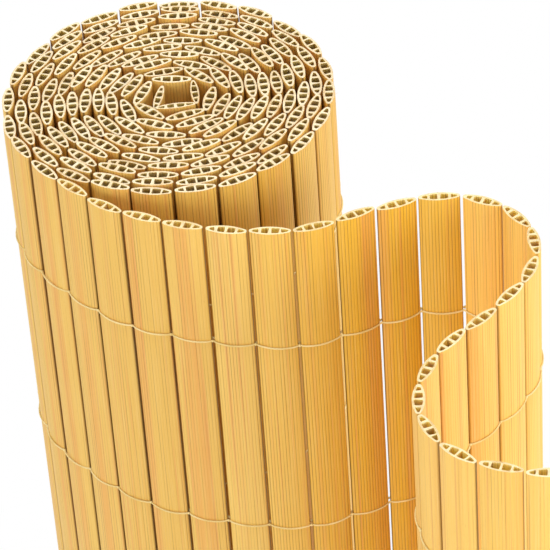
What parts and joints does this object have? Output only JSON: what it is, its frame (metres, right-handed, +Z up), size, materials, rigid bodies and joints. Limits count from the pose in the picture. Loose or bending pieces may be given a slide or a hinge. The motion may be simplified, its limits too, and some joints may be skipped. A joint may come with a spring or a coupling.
{
  "type": "slatted screening fence roll",
  "caption": "Screening mat of hollow bamboo-look plastic slats stitched side by side, wound in a roll that stands on end, its outer end unrolled in an S-shaped run.",
  "frame": {"origin": "on the surface that the mat stands on, under the middle of the mat's box", "axes": "+Z up along the slats; the roll is at the back left and the run leaves it towards +X and then -Y"},
  "size_m": [0.2206, 0.3072, 0.9012],
  "materials": {
    "slat": "satin, with a fine lengthwise bamboo grain",
    "thread": "twisted cream thread"
  },
  "bodies": {
    "root": {"roll_turn_01": "slat", "roll_turn_02": "slat", "roll_turn_03": "slat", "roll_turn_04": "slat", "roll_turn_05": "slat", "roll_turn_06": "slat", "roll_turn_07": "slat", "roll_turn_08": "slat", "roll_turn_09": "slat", "roll_turn_10": "slat", "roll_turn_11": "slat", "run_slat_01": "slat", "run_slat_02": "slat", "run_slat_03": "slat", "run_slat_04": "slat", "run_slat_05": "slat", "run_slat_06": "slat", "run_slat_07": "slat", "run_slat_08": "slat", "run_slat_09": "slat", "run_slat_10": "slat", "run_slat_11": "slat", "run_slat_12": "slat", "run_slat_13": "slat", "run_slat_14": "slat", "run_slat_15": "slat", "run_slat_16": "slat", "run_slat_17": "slat", "run_slat_18": "slat", "run_slat_19": "slat", "run_slat_20": "slat", "run_slat_21": "slat", "run_slat_22": "slat", "run_slat_23": "slat", "run_slat_24": "slat", "stitch_row_1": "thread", "stitch_row_2": "thread", "stitch_row_3": "thread", "stitch_row_4": "thread", "stitch_row_5": "thread", "stitch_row_6": "thread", "stitch_row_7": "thread", "stitch_row_8": "thread", "stitch_row_9": "thread"}
  },
  "joints": []
}
